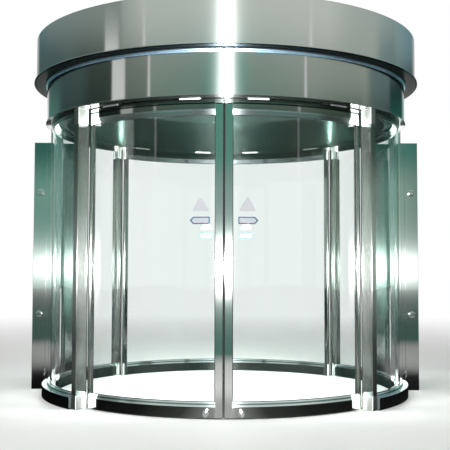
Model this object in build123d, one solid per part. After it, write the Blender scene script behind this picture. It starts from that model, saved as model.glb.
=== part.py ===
from build123d import *
import math
import os

# Circular sliding door: a drum of curved glass and stainless steel that stands in a wall.
# Millimetres. The origin is the centre of the drum on the finished floor, +Z is up.
# The lobby is on the -Y side and the street on the +Y side.
# Angles are turned from the lobby's centre line (-Y) towards the right (+X), in degrees.

# Sliding leaves
leaf_radius = 1580.0          # middle of the leaf's glass
leaf_thickness = 40.0
glass_thickness = 12.0
leaf_half_angle = 46.0        # from the centre line to the leaf's outer edge
meeting_gap = 14.0            # between the two meeting stiles
meeting_stile_width = 62.0
outer_stile_width = 44.0
floor_gap = 8.0               # under the leaves
bottom_rail_height = 124.0    # from the leaf's lower edge up to the glass
bottom_bead_height = 38.0     # sloped glazing bead on the bottom rail
top_bead_height = 46.0        # sloped glazing bead on the top rail
bead_inset = 11.0             # how far those beads slope in towards the glass
sheet = 3.0                   # folded stainless steel sheet
pocket_depth = 30.0           # how deep the glass stands in its rails
stile_pocket = 14.0           # how deep it stands in its stiles
gasket_gap = 1.0              # between glass and steel, each side
glass_head_gap = 5.0          # free space over the leaf's glass
gasket_projection = 4.5       # rubber nosing on each meeting stile
edge_round = 3.0              # corners of the folded stiles and posts
cap_height = 26.0             # the top rail runs on over the stiles as a low channel
neck_height = 13.0            # recessed neck between a stile and that channel
neck_inset = 4.0

# Heights
clear_height = 2400.0         # floor to the underside of the leaf's top rail
top_rail_height = 125.0
head_gap = 7.0                # between leaf and soffit
header_height = 343.0         # from the soffit up to the drum's own ceiling
cornice_height = 31.0         # rolled bead between the two fascias
upper_fascia_height = 405.0

# Fixed frame
running_gap = 12.0            # between the leaves and the fixed frame
frame_depth = 103.0           # radial depth of posts and mullions
jamb_width = 65.0
mullion_width = 60.0
fixed_glass_inset = 49.5      # from the frame's inner face to the middle of the fixed glass
base_projection = 25.0        # base rail in front of the posts
base_rail_height = 128.0      # floor to the top of the glazing beads on the base rail
base_shoulder = 23.0          # height of those beads
base_bead = 28.0              # their width
base_slope = 11.0             # their sloped part
base_chamfer = 3.0
base_inner_gap = 3.0          # base rail behind the frame's inner face
groove_seal = 0.5             # how far the seals of the fixed glass narrow its groove, each side
glazing_channel_height = 50.0
glazing_channel_wall = 9.0

# Header
slot_gap = 18.0               # between the leaves' inner face and the inner fascia
slot_lip = 26.0               # the glazing ring's own inner lip
panel_count = 4               # sheets in each full ring
panel_joint = 3.0             # open joint between two sheets of the upper fascia
hidden_joint = 0.8            # joint between the sheets of the other rings
ring_height = 60.0            # glazing ring over the fixed glass
channel_wall = 6.0
flange = 50.0
fit = 0.3                     # between curved faces that lie against each other
header_projection = 9.0       # lower fascia in front of the posts
foot_projection = 9.0         # folded foot of the lower fascia in front of its face
foot_height = 8.0
foot_chamfer = 2.0
upper_overhang = 99.0         # upper fascia in front of the lower one
lip_height = 12.0
lip_projection = 22.0
lip_chamfer = 3.0
bead_projection = 4.0         # cornice bead in front of the lower fascia
bead_groove = 8.0             # height of the recess under that bead
bead_recess = 6.0             # depth of that recess behind the lower fascia
bead_width = 37.0
bead_bulge = 12.0
bead_steps = 5                # flats that make up the bead's round
cover_thickness = 4.0
cover_drop = 4.0
ceiling_thickness = 12.0
stay_count = 8
stay_size = 40.0
stay_wall = 4.0

# Curved track and hangers
track_wall = 8.0
track_height = 160.0
track_arm_height = 12.0
track_clearance = 14.0        # from the track's top to the header's top plate
running_rail_width = 10.0     # raised rail that the rollers run on
running_rail_height = 13.0
running_rail_chamfer = 2.0
track_inset = 2.0             # that rail behind the frame's inner face
roller_radius = 30.0
roller_width = 16.0
roller_groove = 3.0
roller_flange = 2.5
axle_radius = 8.0
hanger_width = 170.0
hanger_plate = 12.0
hanger_offset = 2.0           # hanger plate in front of the glass's middle
hanger_round = 20.0
roller_spacing = 96.0
hanger_angles = (10.0, 37.0)

# Bottom guides, one at each jamb
guide_plate = 3.0
guide_pin_width = 16.0
guide_pin_length = 15.0
guide_pin_height = 45.0
guide_stop_gap = 7.0

# Locks
rose_radius = 24.0
rose_thickness = 5.0
rose_offset = 140.0           # from the centre line, along the leaf
rose_height = 45.0
post_rose_radius = 32.0
post_rose_thickness = 7.0
post_rose_heights = (730.0, 1920.0)

# Markers on the leaves' glass: a triangle, and a plate that points the way the leaf slides
film_thickness = 0.5
triangle_base = 144.0         # before its corners are rounded
triangle_rise = 119.5
triangle_round = 9.0
triangle_low = 1632.0
arrow_length = 162.0
arrow_height = 59.0
arrow_head = 28.0             # length of its point
arrow_round = 4.0
arrow_low = 1528.0
arrow_shift = 7.0             # its middle beside the triangle's middle
lobby_marker_offset = 187.0   # triangle's middle from the centre line, along the glass
street_marker_offset = 233.0

# Wall posts, one each side
wall_post_gap = 43.0          # from the drum's mullion to the wall post
wall_post_width = 130.0
wall_post_depth = 350.0
wall_post_front = 20.0        # behind the drum's cross axis
wall_post_top_gap = 117.0     # between the posts' tops and the header's soffit
closing_strip_thickness = 10.0

# Radii that follow
leaf_outer = leaf_radius + leaf_thickness / 2
leaf_inner = leaf_radius - leaf_thickness / 2
glass_outer = leaf_radius + glass_thickness / 2
glass_inner = leaf_radius - glass_thickness / 2
frame_inner = leaf_outer + running_gap
frame_outer = frame_inner + frame_depth
header_outer = frame_outer + header_projection
foot_outer = header_outer + foot_projection
upper_radius = header_outer + upper_overhang
fixed_glass_radius = frame_inner + fixed_glass_inset
slot_inner = leaf_inner - slot_gap
pocket = glass_thickness / 2 + gasket_gap
groove = pocket - groove_seal
ring_outer = fixed_glass_radius - groove
groove_outer = fixed_glass_radius + groove

# Heights that follow
leaf_top = clear_height + top_rail_height
cap_low = leaf_top - cap_height
stile_top = cap_low - neck_height
soffit_height = leaf_top + head_gap
ceiling_height = soffit_height + header_height
channel_top = ceiling_height - sheet
upper_height = ceiling_height + cornice_height
top_height = upper_height + upper_fascia_height
rail_height = floor_gap + bottom_rail_height
parts = {}


def degrees_of(length, radius):
    """Angle that a length takes up along a circle."""
    return math.degrees(length / radius)


def turned(outline, start, end):
    """Turn a closed outline of (radius, height) points about the drum's axis between two angles."""
    section = Plane.XZ * make_face(Polyline(*outline, close=True))
    return Rotation(0, 0, start - 90) * revolve(section, Axis.Z, end - start)


def at(angle, radius, height=0.0):
    """Place on the drum: local X points outwards, local Y along the ring."""
    return Rotation(0, 0, angle - 90) * Location((radius, 0, height))


def block(inner, outer, low, high, start, end):
    """Ring segment with a rectangular section."""
    return turned([(inner, low), (outer, low), (outer, high), (inner, high)], start, end)


def upright(inner, outer, low, high, start, end):
    """Folded upright with rounded corners."""
    post = block(inner, outer, low, high, start, end)
    return fillet(post.edges().filter_by(Axis.Z), edge_round)


def ring_of(outline, joint=hidden_joint):
    """A full ring, in equal sheets with an open joint between them."""
    outermost = max(point[0] for point in outline)
    half_joint = degrees_of(joint / 2, outermost)
    step = 360 / panel_count
    sheets = [turned(outline, half_joint, step - half_joint)]
    for index in range(1, panel_count):
        sheets.append(Rotation(0, 0, index * step) * sheets[0])
    return sheets


def mirrored(solids, plane):
    return [mirror(solid, plane) for solid in solids]


def to_right_and_left(right):
    """A piece and its mirror image across the drum's centre line."""
    return list(right) + mirrored(right, Plane.YZ)


def keep(name, solids):
    parts[name] = list(solids)


def leaf_rail(tip, mouth, bead_height, start, end):
    """Folded rail of a leaf: a channel with a sloped bead and a pocket for the glass at its tip."""
    toward = 1 if mouth > tip else -1
    shoulder = tip + toward * bead_height
    pocket_end = tip + toward * pocket_depth
    web = pocket_end + toward * 2 * sheet
    outline = [
        (leaf_outer, mouth),
        (leaf_outer, shoulder),
        (leaf_outer - bead_inset, tip),
        (leaf_radius + pocket, tip),
        (leaf_radius + pocket, pocket_end),
        (leaf_radius - pocket, pocket_end),
        (leaf_radius - pocket, tip),
        (leaf_inner + bead_inset, tip),
        (leaf_inner, shoulder),
        (leaf_inner, mouth),
        (leaf_inner + sheet, mouth),
        (leaf_inner + sheet, web),
        (leaf_outer - sheet, web),
        (leaf_outer - sheet, mouth),
    ]
    return turned(outline, start, end)


# Angles of one right-hand lobby leaf. The other three are its mirror images.
meeting_start = degrees_of(meeting_gap / 2, leaf_radius)
meeting_end = meeting_start + degrees_of(meeting_stile_width, leaf_radius)
outer_end = leaf_half_angle
outer_start = outer_end - degrees_of(outer_stile_width, leaf_radius)
jamb_end = leaf_half_angle + degrees_of(jamb_width, frame_outer)
mullion_start = 90 - degrees_of(mullion_width / 2, frame_outer)
bottom_web = rail_height - pocket_depth
top_web = clear_height + pocket_depth
base_web = base_rail_height - pocket_depth


def leaf_glass():
    """Curved toughened glass, standing in the rails and in the stiles."""
    edge = degrees_of(stile_pocket, leaf_radius)
    high = top_web - glass_head_gap
    return block(glass_inner, glass_outer, bottom_web, high, meeting_end - edge, outer_start + edge)


def top_rail():
    """Top rail with the low channel that runs on over both stiles and is closed at its ends."""
    rail = leaf_rail(clear_height, leaf_top, top_bead_height, meeting_end, outer_start)
    for start, end in ((meeting_start, meeting_end), (outer_start, outer_end)):
        rail += block(leaf_inner, leaf_inner + sheet, cap_low, leaf_top, start, end)
        rail += block(leaf_outer - sheet, leaf_outer, cap_low, leaf_top, start, end)
        rail += block(leaf_inner, leaf_outer, cap_low, cap_low + sheet, start, end)
    wall = degrees_of(sheet, leaf_radius)
    rail += block(leaf_inner, leaf_outer, cap_low, leaf_top, meeting_start, meeting_start + wall)
    rail += block(leaf_inner, leaf_outer, cap_low, leaf_top, outer_end - wall, outer_end)
    return rail


def stile(start, end, glass_side_start, glass_side_end):
    """Upright of a leaf, with a pocket for the glass along one side and a neck under the top channel."""
    pocket_cut = block(
        leaf_radius - pocket, leaf_radius + pocket, bottom_web, top_web, glass_side_start, glass_side_end
    )
    inset = degrees_of(neck_inset, leaf_radius)
    inner = leaf_inner + neck_inset
    outer = leaf_outer - neck_inset
    neck = block(inner, outer, stile_top, cap_low, start + inset, end - inset)
    return upright(leaf_inner, leaf_outer, floor_gap, stile_top, start, end) - pocket_cut + neck


def meeting_stile():
    """The stile at the centre line, with its rubber nosing as a solid of its own."""
    depth = degrees_of(stile_pocket + gasket_gap, leaf_radius)
    return stile(meeting_start, meeting_end, meeting_end - depth, meeting_end + depth)


def outer_stile():
    depth = degrees_of(stile_pocket + gasket_gap, leaf_radius)
    return stile(outer_start, outer_end, outer_start - depth, outer_start + depth)


def meeting_gasket():
    """Rubber nosing on the meeting stile's edge."""
    nose = degrees_of(gasket_projection, leaf_radius)
    inner = leaf_radius - leaf_thickness / 4
    outer = leaf_radius + leaf_thickness / 4
    return block(inner, outer, floor_gap, stile_top, meeting_start - nose, meeting_start)


track_back = ring_outer - channel_wall - fit
track_top = channel_top - channel_wall - track_clearance
track_low = track_top - track_height
arm_top = track_low + track_arm_height
running_outer = frame_inner - track_inset
running_inner = running_outer - running_rail_width
running_middle = running_outer - running_rail_width / 2
running_top = arm_top + running_rail_height
wheel_height = running_top + fit + roller_radius - roller_groove
plate_middle = leaf_radius + hanger_offset


def hanger(angle):
    """Plate that rises out of the leaf's top rail and carries two grooved rollers on the track."""
    low = top_web + 2 * sheet
    high = wheel_height + roller_radius
    plate = Box(hanger_plate, hanger_width, high - low)
    plate = fillet(plate.edges().filter_by(Axis.X).group_by(Axis.Z)[-1], hanger_round)
    body = at(angle, plate_middle) * Pos(0, 0, (low + high) / 2) * plate
    for side in (-1, 1):
        turn = angle + side * degrees_of(roller_spacing / 2, plate_middle)
        reach = running_middle - plate_middle
        axle = Pos(reach / 2, 0, 0) * Rot(0, 90, 0) * Cylinder(axle_radius, reach)
        rim = roller_radius
        waist = roller_radius - roller_groove
        outline = [
            (0, 0),
            (rim, 0),
            (rim, roller_flange),
            (waist, roller_flange + 1),
            (waist, roller_width - roller_flange - 1),
            (rim, roller_width - roller_flange),
            (rim, roller_width),
            (0, roller_width),
        ]
        wheel = revolve(Plane.XZ * make_face(Polyline(*outline, close=True)), Axis.Z, 360)
        wheel = Pos(reach - roller_width / 2, 0, 0) * Rot(0, 90, 0) * wheel
        body = body + at(turn, plate_middle, wheel_height) * (axle + wheel)
    return body


def leaf_rose():
    """Lock rose on the outside of a leaf's bottom rail."""
    disc = Rot(0, 90, 0) * Cylinder(rose_radius, rose_thickness)
    seat = leaf_outer + fit + rose_thickness / 2
    return at(degrees_of(rose_offset, leaf_radius), seat, rose_height) * disc


def film(outline, rounding, offset, low):
    """Printed film, cut to an outline of (along the ring, height) points and bent to the glass's outside."""
    corners = make_face(Polyline(*outline, close=True)).vertices()
    cut = extrude(Plane.YZ * fillet(corners, rounding), glass_thickness, both=True)
    seat = glass_outer + fit
    bent = block(seat, seat + film_thickness, rail_height, clear_height, meeting_end, outer_start)
    return at(degrees_of(offset, glass_outer), seat, low) * cut & bent


def markers(offset):
    """The two markers of a right-hand leaf."""
    half = triangle_base / 2
    triangle = [(-half, 0), (half, 0), (0, triangle_rise)]
    tip = arrow_length / 2
    neck = tip - arrow_head
    arrow = [(-tip, 0), (neck, 0), (tip, arrow_height / 2), (neck, arrow_height), (-tip, arrow_height)]
    return [
        film(triangle, triangle_round, offset, triangle_low),
        film(arrow, arrow_round, offset + arrow_shift, arrow_low),
    ]


def leaf_pieces():
    """All pieces of the right-hand lobby leaf but its markers."""
    return {
        "glass": [leaf_glass()],
        "top_rail": [top_rail()],
        "bottom_rail": [
            leaf_rail(rail_height, floor_gap, bottom_bead_height, meeting_end, outer_start),
            leaf_rose(),
        ],
        "stiles": [meeting_stile(), outer_stile()],
        "gasket": [meeting_gasket()],
        "hangers": [hanger(angle) for angle in hanger_angles],
    }


for piece, right_front in leaf_pieces().items():
    right_rear = mirrored(right_front, Plane.XZ)
    keep("front_right_" + piece, right_front)
    keep("front_left_" + piece, mirrored(right_front, Plane.YZ))
    keep("rear_right_" + piece, right_rear)
    keep("rear_left_" + piece, mirrored(right_rear, Plane.YZ))

lobby_markers = markers(lobby_marker_offset)
street_markers = mirrored(markers(street_marker_offset), Plane.XZ)
keep("front_right_markers", lobby_markers)
keep("front_left_markers", mirrored(lobby_markers, Plane.YZ))
keep("rear_right_markers", street_markers)
keep("rear_left_markers", mirrored(street_markers, Plane.YZ))


def base_rail():
    """Base rail under one pane of fixed glass, with a bead each side of the glass."""
    inner = frame_inner + base_inner_gap
    outer = frame_outer + base_projection
    low = base_rail_height - base_shoulder
    outline = [
        (inner, 0),
        (outer, 0),
        (outer, low - base_chamfer),
        (outer - base_chamfer, low),
        (groove_outer + base_bead, low),
        (groove_outer + base_bead - base_slope, base_rail_height),
        (groove_outer, base_rail_height),
        (groove_outer, base_web),
        (ring_outer, base_web),
        (ring_outer, base_rail_height),
        (ring_outer - base_bead + base_slope, base_rail_height),
        (ring_outer - base_bead, low),
        (inner, low),
    ]
    return turned(outline, jamb_end, mullion_start)


def fixed_glass():
    """Curved pane between a jamb post and the mullion."""
    half = glass_thickness / 2
    return block(
        fixed_glass_radius - half, fixed_glass_radius + half, base_web, soffit_height, jamb_end, mullion_start
    )


def glazing_channel():
    """Slim channel that holds the fixed glass under the header, as an inner and an outer bar."""
    low = soffit_height - glazing_channel_height
    bars = ((ring_outer - glazing_channel_wall, ring_outer), (groove_outer, groove_outer + glazing_channel_wall))
    return [block(inner, outer, low, soffit_height, jamb_end, mullion_start) for inner, outer in bars]


def jamb_post():
    return upright(frame_inner, frame_outer, 0, soffit_height, leaf_half_angle, jamb_end)


def mullion():
    return upright(frame_inner, frame_outer, 0, soffit_height, mullion_start, 180 - mullion_start)


def floor_guide():
    """Plate at the foot of a jamb, with a pin that stands in the leaf's open bottom rail."""
    stop = degrees_of(guide_stop_gap, leaf_radius)
    end = outer_start - stop
    start = end - degrees_of(guide_pin_length, leaf_radius)
    half = guide_pin_width / 2
    plate = block(leaf_radius - half, frame_inner - fit, 0, guide_plate, start, jamb_end)
    pin = block(leaf_radius - half, leaf_radius + half, 0, guide_pin_height, start, end)
    return plate + pin


for side, plane in (("right", None), ("left", Plane.YZ)):
    pieces = {
        "base_rail": [base_rail()],
        "side_glass": [fixed_glass()],
        "glazing_channels": glazing_channel(),
        "jamb_posts": [jamb_post()],
        "floor_guides": [floor_guide()],
    }
    for piece, front in pieces.items():
        both = front + mirrored(front, Plane.XZ)
        if plane:
            both = mirrored(both, plane)
        keep(piece + "_" + side, both)

keep("wall_mullions", to_right_and_left([mullion()]))


wall_post_height = soffit_height - wall_post_top_gap


def wall_post():
    """Folded steel casing of the wall's edge, an open tube that stands on the floor."""
    inner = frame_outer + wall_post_gap
    middle = (inner + wall_post_width / 2, wall_post_front + wall_post_depth / 2, wall_post_height / 2)
    tube = Box(wall_post_width, wall_post_depth, wall_post_height)
    tube = fillet(tube.edges().filter_by(Axis.Z), sheet)
    hollow = Box(wall_post_width - 2 * sheet, wall_post_depth - 2 * sheet, wall_post_height)
    return Pos(*middle) * (tube - hollow)


def closing_strip():
    """Flat strip between the drum's mullion and the wall post."""
    start = frame_outer
    end = frame_outer + wall_post_gap
    middle = ((start + end) / 2, wall_post_front + closing_strip_thickness / 2, wall_post_height / 2)
    return Pos(*middle) * Box(end - start, closing_strip_thickness, wall_post_height)


def post_rose(height):
    disc = Rot(90, 0, 0) * Cylinder(post_rose_radius, post_rose_thickness)
    middle = frame_outer + wall_post_gap + wall_post_width / 2
    return Pos(middle, wall_post_front - post_rose_thickness / 2, height) * disc


keep("wall_post_right", [wall_post()])
keep("wall_post_left", mirrored([wall_post()], Plane.YZ))
keep("closing_strips", to_right_and_left([closing_strip()]))
keep("wall_post_locks", to_right_and_left([post_rose(height) for height in post_rose_heights]))

# Glazing ring: the steel ring between the slot for the leaves and the groove for the fixed glass
ring_top = soffit_height + ring_height
keep("glazing_ring", ring_of([
    (frame_inner, soffit_height),
    (ring_outer, soffit_height),
    (ring_outer, ring_top),
    (ring_outer - channel_wall, ring_top),
    (ring_outer - channel_wall, soffit_height + sheet),
    (frame_inner + sheet, soffit_height + sheet),
    (frame_inner + sheet, soffit_height + slot_lip),
    (frame_inner, soffit_height + slot_lip),
]))

# Lower fascia, folded out and in under the header at its foot and over the header's channel at its top
keep("lower_fascia", ring_of([
    (groove_outer, soffit_height),
    (foot_outer - foot_chamfer, soffit_height),
    (foot_outer, soffit_height + foot_chamfer),
    (foot_outer, soffit_height + foot_height - foot_chamfer),
    (foot_outer - foot_chamfer, soffit_height + foot_height),
    (header_outer, soffit_height + foot_height),
    (header_outer, ceiling_height),
    (header_outer - flange, ceiling_height),
    (header_outer - flange, channel_top),
    (header_outer - sheet, channel_top),
    (header_outer - sheet, soffit_height + sheet),
    (groove_outer, soffit_height + sheet),
]))

# Inner fascia, the hollow side that shows from inside the drum
keep("inner_fascia", ring_of([
    (slot_inner - sheet, soffit_height),
    (slot_inner, soffit_height),
    (slot_inner, channel_top),
    (slot_inner + flange, channel_top),
    (slot_inner + flange, ceiling_height),
    (slot_inner - sheet, ceiling_height),
]))

# Header channel, the inverted trough that carries the tracks and both fascias
header_inner = slot_inner + fit
keep("header_channel", ring_of([
    (header_inner, ring_top),
    (header_inner + channel_wall, ring_top),
    (header_inner + channel_wall, channel_top - channel_wall),
    (ring_outer - channel_wall, channel_top - channel_wall),
    (ring_outer - channel_wall, ring_top),
    (ring_outer, ring_top),
    (ring_outer, channel_top - channel_wall),
    (header_outer - sheet - fit, channel_top - channel_wall),
    (header_outer - sheet - fit, channel_top),
    (header_inner, channel_top),
]))


def track():
    """Curved track of the lobby leaves: a back plate, an arm and the raised rail for the rollers."""
    outline = [
        (running_inner, track_low),
        (track_back, track_low),
        (track_back, track_top),
        (track_back - track_wall, track_top),
        (track_back - track_wall, arm_top),
        (running_outer, arm_top),
        (running_outer, running_top - running_rail_chamfer),
        (running_outer - running_rail_chamfer, running_top),
        (running_inner + running_rail_chamfer, running_top),
        (running_inner, running_top - running_rail_chamfer),
    ]
    end = 90 - degrees_of(hidden_joint, frame_inner)
    return [turned(outline, -end, 0), turned(outline, 0, end)]


keep("tracks", track() + mirrored(track(), Plane.XZ))

# Cornice bead, a rolled sheet between the two fascias. Its face is half an ellipse, in flats, over a recess.
bead_face = header_outer + bead_projection
bead_low = ceiling_height + bead_groove
bead_half = (upper_height - bead_low) / 2
bead_outline = [
    (bead_face - bead_width, upper_height),
    (bead_face - bead_width, ceiling_height),
    (header_outer - bead_recess, ceiling_height),
    (header_outer - bead_recess, bead_low),
]
for index in range(bead_steps + 1):
    turn = math.radians(180 * index / bead_steps - 90)
    bulge = bead_bulge * math.cos(turn)
    bead_outline.append((bead_face + bulge, bead_low + bead_half * (1 + math.sin(turn))))
keep("cornice_bead", ring_of(bead_outline))

# Upper soffit, the flat ring that carries the upper fascia
upper_sheet_inner = upper_radius - sheet
upper_soffit_top = upper_height + sheet
keep("upper_soffit", ring_of([
    (bead_face - bead_width, upper_height),
    (upper_sheet_inner - fit, upper_height),
    (upper_sheet_inner - fit, upper_soffit_top),
    (bead_face - bead_width, upper_soffit_top),
]))

# Upper fascia with its rolled lip
lip_radius = upper_radius + lip_projection
keep("upper_fascia", ring_of([
    (upper_sheet_inner, upper_height),
    (lip_radius - lip_chamfer, upper_height),
    (lip_radius, upper_height + lip_chamfer),
    (lip_radius, upper_height + lip_height - lip_chamfer),
    (lip_radius - lip_chamfer, upper_height + lip_height),
    (upper_radius, upper_height + lip_height),
    (upper_radius, top_height),
    (upper_sheet_inner, top_height),
    (upper_sheet_inner, upper_soffit_top + sheet),
    (upper_sheet_inner - flange, upper_soffit_top + sheet),
    (upper_sheet_inner - flange, upper_soffit_top),
    (upper_sheet_inner, upper_soffit_top),
], panel_joint))

# Upright stays behind the upper fascia, and the cover over the drum
cover_top = top_height - cover_drop
cover_low = cover_top - cover_thickness
stay_low = upper_soffit_top + sheet


def stay(angle):
    """Angle iron that stands on the upper soffit behind one sheet of the fascia."""
    height = cover_low - stay_low
    leg = Box(stay_wall, stay_size, height)
    rib = Pos(-stay_size / 2, 0, 0) * Box(stay_size, stay_wall, height)
    face = math.sqrt((upper_sheet_inner - fit) ** 2 - (stay_size / 2) ** 2)
    return at(angle, face - stay_wall / 2, stay_low + height / 2) * (leg + rib)


keep("fascia_stays", [stay((index + 0.5) * 360 / stay_count) for index in range(stay_count)])
cover_radius = upper_sheet_inner - fit
keep("top_cover", [Pos(0, 0, (cover_low + cover_top) / 2) * Cylinder(cover_radius, cover_thickness)])
ceiling_radius = slot_inner + flange - sheet
ceiling_middle = ceiling_height + ceiling_thickness / 2
keep("ceiling_panel", [Pos(0, 0, ceiling_middle) * Cylinder(ceiling_radius, ceiling_thickness)])

os.makedirs("parts", exist_ok=True)
for name, solids in parts.items():
    shapes = []
    for solid in solids:
        shapes.extend(solid.solids())
    whole = shapes[0] if len(shapes) == 1 else Compound(children=shapes)
    export_step(whole, "parts/" + name + ".step")
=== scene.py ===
import math
from collections import namedtuple

import bmesh
import bpy
from mathutils import Matrix, Vector


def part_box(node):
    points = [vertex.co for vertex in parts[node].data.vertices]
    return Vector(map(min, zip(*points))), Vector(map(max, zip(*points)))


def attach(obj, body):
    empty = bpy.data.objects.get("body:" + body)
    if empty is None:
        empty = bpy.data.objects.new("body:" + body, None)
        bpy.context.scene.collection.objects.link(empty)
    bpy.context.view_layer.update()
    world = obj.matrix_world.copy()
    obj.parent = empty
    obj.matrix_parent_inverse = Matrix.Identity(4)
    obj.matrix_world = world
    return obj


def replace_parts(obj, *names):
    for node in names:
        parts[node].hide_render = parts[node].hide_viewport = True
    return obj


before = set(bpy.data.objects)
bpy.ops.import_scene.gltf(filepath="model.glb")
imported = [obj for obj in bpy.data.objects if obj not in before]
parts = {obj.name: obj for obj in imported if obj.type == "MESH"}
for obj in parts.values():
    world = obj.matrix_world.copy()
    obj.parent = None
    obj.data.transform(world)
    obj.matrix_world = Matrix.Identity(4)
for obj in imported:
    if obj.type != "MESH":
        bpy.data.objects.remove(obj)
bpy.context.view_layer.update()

# Base rails under the fixed glass.
# Folded from polished stainless sheet and screwed to the floor, one under each curved pane, with a
# sloped glazing bead on each side of the glass.


def group(name, inputs, outputs):
    """A new shader node group with named sockets. Each input is (name, kind, default)."""
    tree = bpy.data.node_groups.new(name, "ShaderNodeTree")
    for label, kind, default in inputs:
        socket = tree.interface.new_socket(label, in_out="INPUT", socket_type="NodeSocket" + kind)
        if default is not None:
            socket.default_value = default
    for label, kind in outputs:
        tree.interface.new_socket(label, in_out="OUTPUT", socket_type="NodeSocket" + kind)
    return tree, tree.nodes.new("NodeGroupInput"), tree.nodes.new("NodeGroupOutput")


def add(tree, kind, settings=None, **inputs):
    """A node with its settings, and its inputs set or linked.

    in0 stands for the first input, and _ in a name for a space.
    """
    node = tree.nodes.new("ShaderNode" + kind)
    for key, value in (settings or {}).items():
        setattr(node, key, value)
    for key, value in inputs.items():
        socket = node.inputs[int(key[2:])] if key[2:].isdigit() else node.inputs[key.replace("_", " ")]
        if isinstance(value, bpy.types.NodeSocket):
            tree.links.new(value, socket)
        else:
            socket.default_value = value
    return node


def maths(tree, operation, first, second=0.0):
    """The result of a sum with one or two values."""
    return add(tree, "Math", {"operation": operation}, in0=first, in1=second).outputs[0]


def span(tree, value, low, high, new_low=0.0, new_high=1.0):
    """Map a value from one range to another, smoothly and clamped."""
    node = add(tree, "MapRange", {"interpolation_type": "SMOOTHSTEP"}, Value=value)
    for label, number in (("From Min", low), ("From Max", high), ("To Min", new_low), ("To Max", new_high)):
        node.inputs[label].default_value = number
    return node.outputs[0]


def blend(tree, factor, first, second):
    """Mix two colours."""
    return add(tree, "Mix", {"data_type": "RGBA"}, in0=factor, in6=first, in7=second).outputs[2]


def cross(tree, first, second):
    """A vector square to two others."""
    return add(tree, "VectorMath", {"operation": "CROSS_PRODUCT"}, in0=first, in1=second).outputs[0]


drum_radius = 1.7
fine_grain = (900.0, 6.0)     # scores to a metre, across and along them
broad_grain = (150.0, 2.0)
fine_share = 0.6
grain_depth = 40.0            # and to a metre away from the drum's axis
wear_scale = 2.2
wear_swing = 0.4              # how much the roughness changes from patch to patch
least_roughness = 0.03


def make_grain():
    """Ground grain of steel sheet, along the drum or upright: colour, roughness and a height for bump."""
    tree, given, made = group(
        "ground_grain",
        [
            ("Position", "Vector", None),
            ("Upright", "Float", 0.0),
            ("Colour", "Color", (0.6, 0.6, 0.6, 1.0)),
            ("Roughness", "Float", 0.3),
            ("Contrast", "Float", 0.1),
        ],
        [("Colour", "Color"), ("Roughness", "Float"), ("Height", "Float")],
    )
    place = add(tree, "SeparateXYZ", Vector=given.outputs["Position"])
    arc = maths(tree, "MULTIPLY", maths(tree, "ARCTAN2", place.outputs["Y"], place.outputs["X"]), drum_radius)
    radius = add(tree, "VectorMath", {"operation": "LENGTH"}, in0=given.outputs["Position"]).outputs["Value"]
    upright = given.outputs["Upright"]
    scores = []
    for fine, long in (fine_grain, broad_grain):
        along = add(tree, "Mix", Factor=upright, in2=long, in3=fine).outputs[0]
        across = add(tree, "Mix", Factor=upright, in2=fine, in3=long).outputs[0]
        point = add(
            tree,
            "CombineXYZ",
            X=maths(tree, "MULTIPLY", arc, along),
            Y=maths(tree, "MULTIPLY", place.outputs["Z"], across),
            Z=maths(tree, "MULTIPLY", radius, grain_depth),
        )
        scores.append(add(tree, "TexNoise", Vector=point.outputs[0], Scale=1.0, Detail=2.0).outputs["Fac"])
    wear = add(tree, "TexNoise", Vector=given.outputs["Position"], Scale=wear_scale, Detail=4.0).outputs["Fac"]
    fine_part = maths(tree, "MULTIPLY", scores[0], fine_share)
    mixed = maths(tree, "ADD", fine_part, maths(tree, "MULTIPLY", scores[1], 1.0 - fine_share))
    swing = maths(tree, "MULTIPLY", maths(tree, "SUBTRACT", mixed, 0.5), given.outputs["Contrast"])
    level = maths(tree, "ADD", 1.0, maths(tree, "MULTIPLY", swing, 2.0))
    tone = add(tree, "VectorMath", {"operation": "SCALE"}, in0=given.outputs["Colour"], Scale=level).outputs[0]
    patch = maths(tree, "MULTIPLY", maths(tree, "SUBTRACT", wear, 0.5), wear_swing)
    uneven = maths(tree, "ADD", 1.0, maths(tree, "ADD", maths(tree, "MULTIPLY", swing, 2.0), patch))
    rough = maths(tree, "MULTIPLY", given.outputs["Roughness"], uneven)
    tree.links.new(tone, made.inputs["Colour"])
    tree.links.new(maths(tree, "MAXIMUM", rough, least_roughness), made.inputs["Roughness"])
    tree.links.new(mixed, made.inputs["Height"])
    return tree


fold_range = (0.995, 0.85)    # cosine of the rounded normal's lean where the mask starts and is full


def make_fold():
    """Rounded fold along a sheet's edges: the normal there, and a mask of the edges."""
    tree, given, made = group(
        "folded_edge", [("Radius", "Float", 0.003)], [("Normal", "Vector"), ("Edge", "Float")]
    )
    soft = add(tree, "Bevel", {"samples": 4}, Radius=given.outputs["Radius"]).outputs[0]
    sharp = add(tree, "NewGeometry").outputs["Normal"]
    along = add(tree, "VectorMath", {"operation": "DOT_PRODUCT"}, in0=soft, in1=sharp).outputs["Value"]
    tree.links.new(soft, made.inputs["Normal"])
    tree.links.new(span(tree, along, *fold_range), made.inputs["Edge"])
    return tree


grain = make_grain()
fold = make_fold()
up = (0.0, 0.0, 1.0)


def plain(name):
    """A new material with its shader."""
    material = bpy.data.materials.new(name)
    material.use_nodes = True
    return material, material.node_tree, material.node_tree.nodes["Principled BSDF"]


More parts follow.
